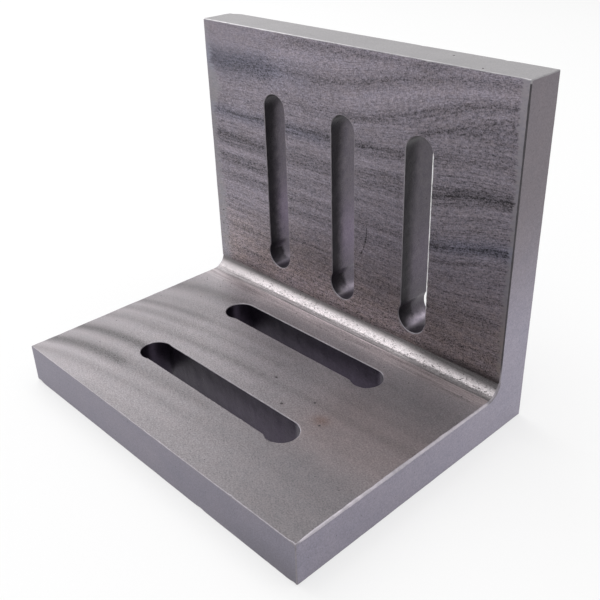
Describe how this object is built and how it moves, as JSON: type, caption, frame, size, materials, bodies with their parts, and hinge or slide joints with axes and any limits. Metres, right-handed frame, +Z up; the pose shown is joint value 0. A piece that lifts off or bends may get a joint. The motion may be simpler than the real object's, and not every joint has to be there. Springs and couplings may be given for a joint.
{
  "type": "angle plate",
  "caption": "L-shaped cast iron angle plate with upright slots through the wall, long slots across the base and a hollow cove in the inner corner.",
  "frame": {"origin": "on the underside of the base, at mid width and mid depth of the whole plate", "axes": "+X along the width, +Y from the base's front edge to the wall's back face, +Z up the wall"},
  "size_m": [0.1524, 0.1142, 0.127],
  "materials": {
    "casting": "machined grey iron, satin, with dark patina and a bare as-cast cove"
  },
  "bodies": {
    "root": {"angle_plate": "casting"}
  },
  "joints": []
}
